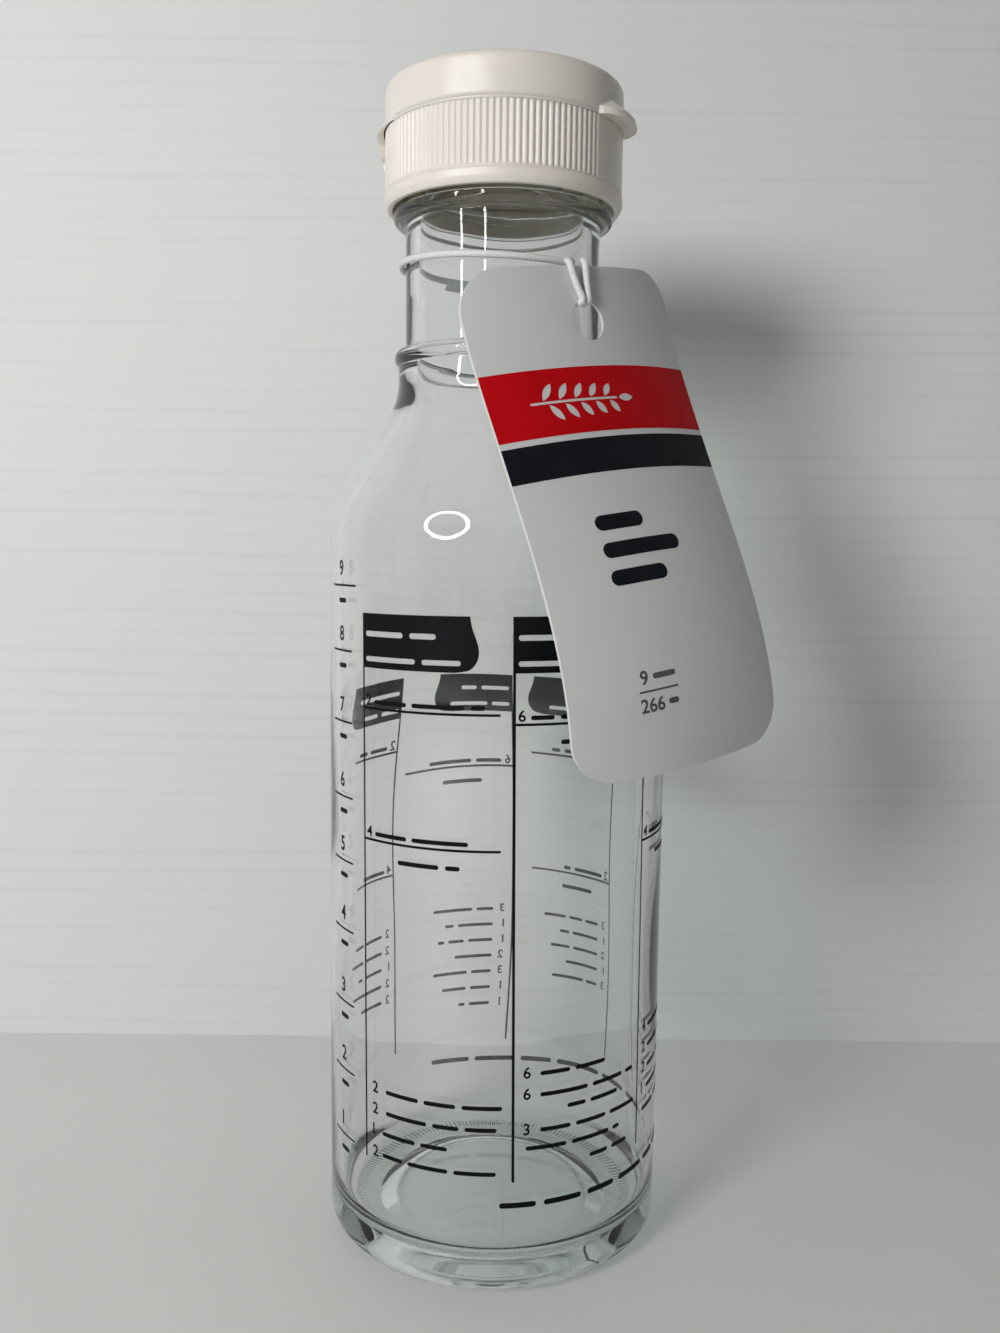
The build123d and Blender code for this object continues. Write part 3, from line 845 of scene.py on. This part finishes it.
# Flip lid
LID_COLUMNS = 720
FLARE_REACH = 1.9
FLARE_OFFSET = 4.4155
FLARE_CIRCLE = 17.8845
FLARE_BOTTOM = 191.0
FLARE_INNER = 20.65
FLARE_HALF_ANGLE = 50
FLARE_LOW_ANGLE = 8.0
FLARE_RISE_ANGLE = 10.0
FLARE_UPRIGHT = 192.4
FLARE_SLOPE = FLARE_REACH / 3.2
TAB_REACH = 2.8
TAB_END_REACH = 0.5
TAB_HALF_ANGLE = 20.0
TAB_EDGE_HEIGHT = 1.2
TAB_EDGE_TAPER = 0.3
TAB_HEIGHT = 3.2
TAB_FULLNESS = 2.8
TAB_CLIMB = 13.0
PLUG_RADII = (3.3, 4.3, 4.9)
PLUG_END = 193.8
CROWN_SAG = 0.12
CROWN_SAG_RADIUS = 17


def lid_points():
    angles = np.linspace(-math.pi, math.pi, LID_COLUMNS, endpoint=False)
    from_hinge, from_tab = math.pi - np.abs(angles), np.abs(np.degrees(angles))
    # The rim flares out in a circle that stands off towards the hinge
    rim = FLARE_OFFSET * np.cos(from_hinge) + np.sqrt(FLARE_CIRCLE**2 - (FLARE_OFFSET * np.sin(from_hinge)) ** 2)
    rim = np.where(np.degrees(from_hinge) < FLARE_HALF_ANGLE, np.maximum(rim, CAP_RADIUS), CAP_RADIUS)
    rise = smooth((np.degrees(from_hinge) - FLARE_LOW_ANGLE) / FLARE_RISE_ANGLE)
    skirt = np.where(rim > FLARE_INNER, FLARE_BOTTOM + (LID_EDGE - FLARE_BOTTOM) * rise, LID_EDGE)
    tab_end = smooth((TAB_HALF_ANGLE - from_tab) / 0.9)
    climb = smooth((TAB_HALF_ANGLE - from_tab) / TAB_CLIMB)
    aside = np.clip(from_tab / TAB_HALF_ANGLE, 0, 1) ** TAB_FULLNESS
    tab = CAP_RADIUS + (TAB_REACH + (TAB_END_REACH - TAB_REACH) * aside) * tab_end
    is_tab = from_tab < TAB_HALF_ANGLE
    reach = np.where(is_tab, tab, rim)
    up_r = np.where(is_tab, tab - TAB_EDGE_TAPER * tab_end, rim)
    up_z = np.where(is_tab, LID_EDGE + TAB_EDGE_HEIGHT, np.maximum(FLARE_UPRIGHT, skirt + 0.2))
    slope_end = np.maximum(FLARE_UPRIGHT + (rim - CAP_RADIUS) / FLARE_SLOPE, up_z + 0.2)
    join_z = np.where(is_tab, up_z + 0.1 + (TAB_HEIGHT - TAB_EDGE_HEIGHT) * climb, slope_end)
    bore, chamfer, outside = PLUG_RADII
    inner = np.minimum(rim, FLARE_INNER)
    corners = [
        (POLE_RADIUS, LID_CEILING, 0, 2),
        (bore, LID_CEILING, 0.3, 1),
        (bore, PLUG_END, 0.2, 0.5),
        (chamfer, PLUG_END, 0.25, 0.6),
        (outside, SPOUT_TOP, 0.5, 1.5),
        (outside, LID_CEILING, 0.4, 3),
        (LID_INNER_RADIUS, LID_CEILING, 0.6, 1.5),
        (LID_INNER_RADIUS, LID_EDGE, 0.12, 0.5),
        (inner, LID_EDGE, 0.03, 0.8),
        (inner, skirt, 0.05, 0.6),
        (reach, skirt, 0.06, 0.5),
        (up_r, up_z, 0.35, 0.5),
        (CAP_RADIUS, join_z, 0.6, 0.8),
        (CAP_RADIUS, LID_TOP, 1.25, 2.0),
        (POLE_RADIUS, LID_TOP, 0, 2.0),
    ]
    profile = rounded_profile(corners, LID_COLUMNS, 6)
    inwards = CROWN_SAG_RADIUS - profile[..., 0]
    top = (profile[..., 1] > LID_TOP - 0.4) & (inwards > 0)
    profile[..., 1] -= np.where(top, CROWN_SAG * smooth(inwards / 15), 0)
    return turned(profile, angles + TAB_DIRECTION)


poles = [0, 0, LID_CEILING], [0, 0, LID_TOP - CROWN_SAG]
lid = lathe_piece("flip_lid_moulded", lid_points(), CAP, *poles)
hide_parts("flip_lid")
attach(lid, "lid")

for node, material in (("cap_liner", LINER), ("hinge_web", CAP)):
    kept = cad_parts[node]
    kept.data.materials.clear()
    kept.data.materials.append(material)


# Flat shapes that are laid on the glass or the card
def flat_outlines(outlines):
    """Filled flat mesh of closed outlines; one inside another is a hole."""
    curve = bpy.data.curves.new("flat", "CURVE")
    curve.dimensions = "2D"
    curve.fill_mode = "BOTH"
    for outline in outlines:
        add_spline(curve, "POLY", outline).use_cyclic_u = True
    return curve_mesh(curve)


NUMERALS = {}


def numeral_mesh(text):
    """Flat numeral, 1 high, its left edge at 0, with its points and faces."""
    if text not in NUMERALS:
        curve = bpy.data.curves.new("numeral", "FONT")
        curve.body = text
        curve.fill_mode = "BOTH"
        curve.resolution_u = 5
        curve.offset = 0.017
        mesh = curve_mesh(curve)
        places = np.array([v.co for v in mesh.vertices])[:, :2]
        low, high = places.min(0), places.max(0)
        NUMERALS[text] = ((places - low) / (high[1] - low[1]), [tuple(p.vertices) for p in mesh.polygons])
        bpy.data.meshes.remove(mesh)
    return NUMERALS[text]


def bar(x0, x1, y0, y1, rounding=0.5, segments=4):
    """Rounded bar outline; rounding is a share of its thickness."""
    r = min(abs(y1 - y0), abs(x1 - x0)) * rounding
    points = []
    for cx, cy, start in ((x1 - r, y0 + r, -90), (x1 - r, y1 - r, 0), (x0 + r, y1 - r, 90), (x0 + r, y0 + r, 180)):
        for k in range(segments + 1):
            a = math.radians(start + 90 * k / segments)
            points.append((cx + r * math.cos(a), cy + r * math.sin(a)))
    return points


def laid_piece(name, pierced, bars, numerals, mapping, steps, layers, material):
    """Thin closed film of pierced shapes, plain bars and numerals.

    It is cut at steps along x and y, bent by mapping(x, y, above), and lies between two layers above.
    """
    work = bmesh.new()
    for outlines in pierced:
        flat = flat_outlines(outlines)
        work.from_mesh(flat)
        bpy.data.meshes.remove(flat)
    for outline in bars:
        work.faces.new([work.verts.new((x, y, 0)) for x, y in outline])
    for text, x, y, size in numerals:
        places, faces = numeral_mesh(text)
        made = [work.verts.new((x + p[0] * size, y + p[1] * size, 0)) for p in places]
        for f in faces:
            work.faces.new([made[i] for i in f])
    for axis, step in enumerate(steps):
        if not step:
            continue
        values = [v.co[axis] for v in work.verts]
        normal = Vector((1 - axis, axis, 0))
        first, last = math.floor(min(values) / step) + 1, math.ceil(max(values) / step)
        for k in range(first, last):
            geometry = list(work.verts) + list(work.edges) + list(work.faces)
            bmesh.ops.bisect_plane(work, geom=geometry, dist=1e-5, plane_co=normal * (k * step), plane_no=normal)
    bmesh.ops.triangulate(work, faces=[f for f in work.faces if len(f.verts) > 4])
    work.verts.index_update()
    places = np.array([v.co for v in work.verts], float)
    faces, edges = [], []
    borders = {frozenset(v.index for v in e.verts) for e in work.edges if len(e.link_faces) == 1}
    for f in work.faces:
        ring = [v.index for v in f.verts]
        if f.normal.z < 0:
            ring.reverse()
        faces.append(ring)
        edges += [edge for edge in zip(ring, ring[1:] + ring[:1]) if frozenset(edge) in borders]
    work.free()
    number = len(places)
    bottom, top = (mapping(places[:, 0], places[:, 1], np.full(number, above)) for above in layers)
    flat = faces + [[i + number for i in f[::-1]] for f in faces]
    sides = [[a + 3 * number, b + 3 * number, b + 2 * number, a + 2 * number] for a, b in edges]
    piece = make_piece(name, np.vstack([top, bottom, top, bottom]), flat + sides, material)
    piece.data.polygons.foreach_set("use_smooth", [True] * len(flat) + [False] * len(sides))
    loose = bmesh.new()
    loose.from_mesh(piece.data)
    bmesh.ops.delete(loose, geom=[v for v in loose.verts if not v.link_faces], context="VERTS")
    loose.to_mesh(piece.data)
    loose.free()
    return piece


PRINT_TILT = 0.0095
PRINT_MIDDLE = 66.0


def on_glass(x, y, above):
    """x is the length round the body from the front, y the height; the print lies a little askew."""
    angle = (x - PRINT_TILT * (y - PRINT_MIDDLE)) / BODY_RADIUS
    reach = BODY_RADIUS + above
    return np.stack([reach * np.sin(angle), -reach * np.cos(angle), y + PRINT_TILT * BODY_RADIUS * np.sin(angle)], -1)


def round_to(azimuth):
    """Length round the body to an azimuth in degrees."""
    return math.radians(azimuth) * BODY_RADIUS


# Print on the glass
RULE = 0.36
FILL_RULE = 0.42
RULE_FOOT = 20.6
WORD_GAP = 0.512
FRONT_COLUMNS = (-46.3, 5.5, 55.0)
BACK_COLUMNS = (127.0, 174.0, 223.8)
# Foot and top of the flags, then base and capital height of each line of words in them
FRONT_FLAGS = (104.1, 112.96, (108.75, 2.5), (104.75, 2.3))
BACK_FLAGS = (89.2, 97.0, (93.3, 2.2), (90.0, 2.1))
# Reach past the flag's end and share of its height
FLAG_WAVE = ((-3.2, 0.0), (-1.0, 0.02), (0.0, 0.10), (0.75, 0.24))
FLAG_WAVE += ((0.9, 0.42), (0.35, 0.62), (-0.35, 0.82), (-0.55, 1.0))
PRINT = {"flags": [], "bars": [], "numerals": []}


def word_bars(start, end, base, cap_height):
    """Row of short bars that stands for a line of words."""
    made = []
    x, last = round_to(start), round_to(end)
    while x < last - cap_height * 0.5:
        length = cap_height * dice.uniform(1.7, 4.6)
        stop = min(x + length, last)
        if last - stop < cap_height * 1.2:
            stop = last
        made.append(bar(x, stop, base + 0.18 * cap_height, base + 0.54 * cap_height))
        x = stop + cap_height * WORD_GAP
    return made


def add_words(start, end, base, cap_height):
    PRINT["bars"] += word_bars(start, end, base, cap_height)


def add_numeral(text, azimuth, base, size):
    PRINT["numerals"].append((text, round_to(azimuth), base, size))


def add_rule(start, end, height, thickness=FILL_RULE):
    PRINT["bars"].append(bar(round_to(start), round_to(end), height - thickness / 2, height + thickness / 2, 0.2, 2))


def add_upright(azimuth, high, thickness=RULE):
    x = round_to(azimuth)
    PRINT["bars"].append(bar(x - thickness / 2, x + thickness / 2, RULE_FOOT, high, 0.2, 2))


def add_flag(start, width, flags, ends):
    """Black flag with a waved end and lines of words left open in it."""
    low, high, *lines = flags
    x0, x1 = round_to(start), round_to(start + width)
    wave = smooth_line([(x1 + a, low + (high - low) * b, 0) for a, b in FLAG_WAVE], 6)
    flag = [[(x0, high), (x0, low), *wave[:, :2]]]
    for end, (base, cap_height) in zip(ends, lines):
        flag += word_bars(start + 1.2, start + end, base, cap_height)
    PRINT["flags"].append(flag)


def add_fill(start, end, height, text, words_end, below=None):
    """Fill line with its numeral, and words above and beneath it."""
    add_rule(start, end, height)
    add_numeral(text, start + 1.2, height + 0.45, 1.9)
    add_words(start + 5.0, words_end, height + 0.35, 2.0)
    if below:
        add_words(below[0], below[1], height - 3.7, 2.1)


def add_list(start, *rows, cap_height=2.0):
    """Lines of a list: base height, numeral, where its words begin and end."""
    for base, text, first, last in rows:
        if text:
            add_numeral(text, start + 3.2, base, cap_height)
        add_words(start + first, start + last, base, cap_height)


def add_small_list(start, top, amounts, ends):
    rows = [(top - 3.3 * k, amounts[k % len(amounts)], 7.5, end) for k, end in enumerate(ends)]
    add_list(start, *rows, cap_height=1.7)


def glass_print():
    left, middle, right = FRONT_COLUMNS
    far_right, far, far_left = BACK_COLUMNS
    for azimuth, thick in ((left, RULE), (middle, 0.46), (right, RULE)):
        add_upright(azimuth, FRONT_FLAGS[1], thick)
    for azimuth in BACK_COLUMNS:
        add_upright(azimuth, BACK_FLAGS[1])
    add_upright(104.0, FRONT_FLAGS[1])
    add_flag(left, 39.6, FRONT_FLAGS, (27.9, 35.7))
    add_flag(middle, 40.5, FRONT_FLAGS, (29.0, 33.0))
    add_flag(right, 39.0, FRONT_FLAGS, (31.0, 26.0))
    add_flag(far_right, 38.5, BACK_FLAGS, (24.0, 31.0))
    add_flag(far, 32.5, BACK_FLAGS, (22.0, 27.0))
    add_flag(far_left, 30.0, BACK_FLAGS, (24.0, 20.0))
    add_fill(left, 1.4, 97.5, "2", -3.3)
    add_fill(left, 1.5, 75.7, "4", -8.4, (-32.0, -11.0))
    add_fill(middle, 50.0, 96.0, "6", 41.0, (20.0, 35.0))
    add_fill(right, 98.0, 96.5, "3", 86.0)
    add_fill(right, 98.0, 74.4, "4", 84.0, (66.0, 80.0))
    add_fill(far_right, 166.0, 81.0, "3", 157.0)
    add_fill(far_right, 166.2, 57.2, "2", 152.0, (138.0, 153.0))
    add_fill(far, 219.0, 77.9, "6", 209.0, (187.0, 203.0))
    add_fill(far_left, 250.0, 82.8, "2", 246.0)
    add_fill(far_left, 250.0, 57.5, "4", 244.0)
    add_list(left, (32.5, "2", 9.0, 48.4), (28.8, "2", 9.0, 46.7), (25.1, "1", 7.5, 31.1), (21.3, "2", 7.5, 46.5))
    add_list(
        middle,
        (38.1, "6", 8.6, 32.1),
        (34.5, "6", 8.6, 46.0),
        (31.9, "", 17.8, 37.8),
        (28.5, "3", 8.6, 47.0),
        (25.5, "", 4.0, 39.0),
        (22.3, "", 26.2, 43.0),
    )
    add_list(
        right,
        (40.0, "4", 8.0, 35.0),
        (36.3, "2", 8.0, 40.0),
        (32.6, "2", 8.0, 38.0),
        (28.9, "1", 7.5, 30.0),
        (25.2, "", 4.0, 36.0),
    )
    add_small_list(far_right, 47.0, "3121", (34.0, 27.0, 31.0, 24.0, 30.0))
    add_small_list(far, 47.5, "3112", (31.0, 26.0, 29.0, 22.0, 31.0, 27.0, 20.0))
    add_small_list(far_left, 45.0, "221", (25.0, 27.0, 22.0, 26.0, 20.0))
    add_words(1.2, 206.0, 15.7, 2.6)
    ticks = (21.5, 33.4, 45.5, 58.4, 70.4, 81.5, 94.3, 106.3, 117.2)
    for number, height in enumerate(ticks, start=1):
        add_rule(-68.0, -53.2 if number < 9 else -50.6, height, 0.34)
        add_numeral(str(number), -61.9, height + 1.6, 2.6)
        PRINT["bars"].append(bar(round_to(-62.4), round_to(-56.8), height - 2.9, height - 2.1))
    film = laid_piece("glass_print_film", *PRINT.values(), on_glass, (1.0, None), (0.008, 0.03), BLACK_INK)
    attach(film, "bottle")


glass_print()


# Card tag and its print
CARD_STEPS = (1.5, 1.5)
RED_BAND = (-18.6, -7.6)
BLACK_BAND = (-25.4, -19.6)


def on_card(x, y, above):
    """x is across the card, y up from its hole."""
    return card_points(x, -y, above)


def make_card():
    half = CARD_WIDTH / 2
    outline = bar(-half, half, -CARD_BOTTOM, CARD_TOP, CARD_CORNER / CARD_WIDTH, 14)
    hole = [(CARD_HOLE * math.cos(a), CARD_HOLE * math.sin(a)) for a in full_turn(48)]
    layers = (-CARD_THICKNESS / 2, CARD_THICKNESS / 2)
    card = laid_piece("hang_tag_card", [[outline, hole]], [], [], on_card, CARD_STEPS, layers, CARD)
    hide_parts("hang_tag")
    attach(card, "tag")


def leaf(x, y, length, width, angle):
    """Pointed leaf outline that starts at x, y."""
    c, s = math.cos(math.radians(angle)), math.sin(math.radians(angle))
    points = []
    for side in (1, -1):
        for k in range(9):
            t = k / 9 if side == 1 else 1 - k / 9
            w = side * width / 2 * math.sin(math.pi * t) ** 0.8
            points.append((x + length * t * c - w * s, y + length * t * s + w * c))
    return points


def across_card(low, high):
    half = CARD_WIDTH / 2
    return [(-half, low), (half, low), (half, high), (-half, high)]


def card_film(name, pierced, bars, material, numerals=()):
    low = CARD_THICKNESS / 2 + 0.01
    film = laid_piece(name, pierced, bars, numerals, on_card, CARD_STEPS, (low, low + 0.02), material)
    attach(film, "tag")


def card_print():
    sprig = [bar(-15.0, 2.0, -13.3, -12.9)]
    for k in range(5):
        x, length = -12.6 + 3.0 * k, 3.4 - 0.2 * k
        sprig.append(leaf(x, -12.7, length, 1.25, 52))
        sprig.append(leaf(x + 0.9, -13.5, length, 1.25, -52))
    sprig.append(leaf(2.4, -13.1, 3.2, 1.3, 0))
    card_film("hang_tag_red_band", [[across_card(*RED_BAND), *sprig]], [], CARD_RED)
    card_film("hang_tag_black_band", [], [across_card(*BLACK_BAND)], CARD_BLACK)
    words = [bar(-10.4, end, top - 2.5, top) for end, top in ((-0.9, -32.4), (5.4, -36.9), (0.9, -41.4))]
    card_film("hang_tag_words", [], words, CARD_BLACK)
    small = [
        bar(-6.9, -2.4, -59.1, -58.2),
        bar(-9.8, -2.2, -61.0, -60.7, 0.3, 2),
        bar(-4.4, -2.4, -63.5, -62.6),
    ]
    card_film("hang_tag_small_words", [], small, CARD_GREY, [("9", -9.3, -59.8, 2.3), ("266", -9.8, -64.2, 2.3)])


make_card()
card_print()

# Stage: table, wall and lamps
WALL_DISTANCE = 76.0
WALL_HALF_WIDTH = 900.0
WALL_TOP = 700.0
TABLE_REACH = 2500.0
TABLE_HEIGHT = -0.03


def stage_plane(name, half, near, far, low, high, material):
    """Plane from a near edge at the height low to a far one at the height high."""
    corners = [(-half, near, low), (half, near, low), (half, far, high), (-half, far, high)]
    plane = make_piece(name, corners, [(0, 1, 2, 3)], material, smooth_faces=False)


def make_stage():
    far, wall = TABLE_REACH, WALL_DISTANCE
    stage_plane("stage_table", far, -far, far, TABLE_HEIGHT, TABLE_HEIGHT, table_material())
    stage_plane("stage_wall", WALL_HALF_WIDTH, wall, wall, TABLE_HEIGHT, WALL_TOP, wall_material())


LAMP_PLACE = Vector((-318.0, -459.0, 300.0))
LAMP_TARGET = Vector((0.0, 0.0, 110.0))
KEY_RADIUS = 95.0
KEY_ENERGY = 2.42
RING_RADIUS = 140.0
RING_TUBE_RADIUS = 13.0
RING_STEPS = (96, 12)
RING_GLOW = 22.0
LIGHT_FROM_ROOM = 0.17


def make_lamps():
    aim = (LAMP_TARGET - LAMP_PLACE).normalized()
    data = bpy.data.lights.new("key", "AREA")
    data.shape = "DISK"
    data.size = 2 * KEY_RADIUS * MM
    data.energy = KEY_ENERGY
    data.color = (1.0, 0.985, 0.96)
    key = add_object("key", data)
    key.location = LAMP_PLACE * MM
    key.rotation_mode = "QUATERNION"
    key.rotation_quaternion = aim.to_track_quat("-Z", "Y")
    key.visible_glossy = False
    key.visible_transmission = False
    key.visible_camera = False
    side = aim.cross(Vector((0, 0, 1))).normalized()
    up = side.cross(aim)
    points = []
    for a in full_turn(RING_STEPS[0]):
        out = side * math.cos(a) + up * math.sin(a)
        for b in full_turn(RING_STEPS[1]):
            across, along = RING_RADIUS + RING_TUBE_RADIUS * math.cos(b), RING_TUBE_RADIUS * math.sin(b)
            points.append(LAMP_PLACE + out * across + aim * along)
    ring = make_piece("stage_ring_lamp", points, grid_faces(*RING_STEPS, wrap_rows=True), lamp_material(RING_GLOW))
    ring.visible_camera = False
    ring.visible_diffuse = False
    ring.visible_transmission = False
    ring.visible_shadow = False
    ring.visible_volume_scatter = False


def make_world():
    """Room light that grows with the height and towards the back, and is weaker on matt faces."""
    scene.world = bpy.data.worlds.new("world")
    n = Nodes(scene.world, "Background", "Generated")
    parts = n.coordinates()
    back = n.maths("MULTIPLY_ADD", parts["Y"], 0.55, 0.45)
    light = n.maths("MULTIPLY_ADD", parts["Z"], 0.40, back)
    matt = n.add("ShaderNodeLightPath").outputs["Is Diffuse Ray"]
    n.set(
        Color=n.ramp(light, (0.25, 0.255, 0.26), (0.78, 0.785, 0.79), 0.0, 1.0),
        Strength=n.range(matt, 1.0, LIGHT_FROM_ROOM, 0.0, 1.0),
    )


make_stage()
make_lamps()
make_world()

scene.view_settings.view_transform = "Standard"
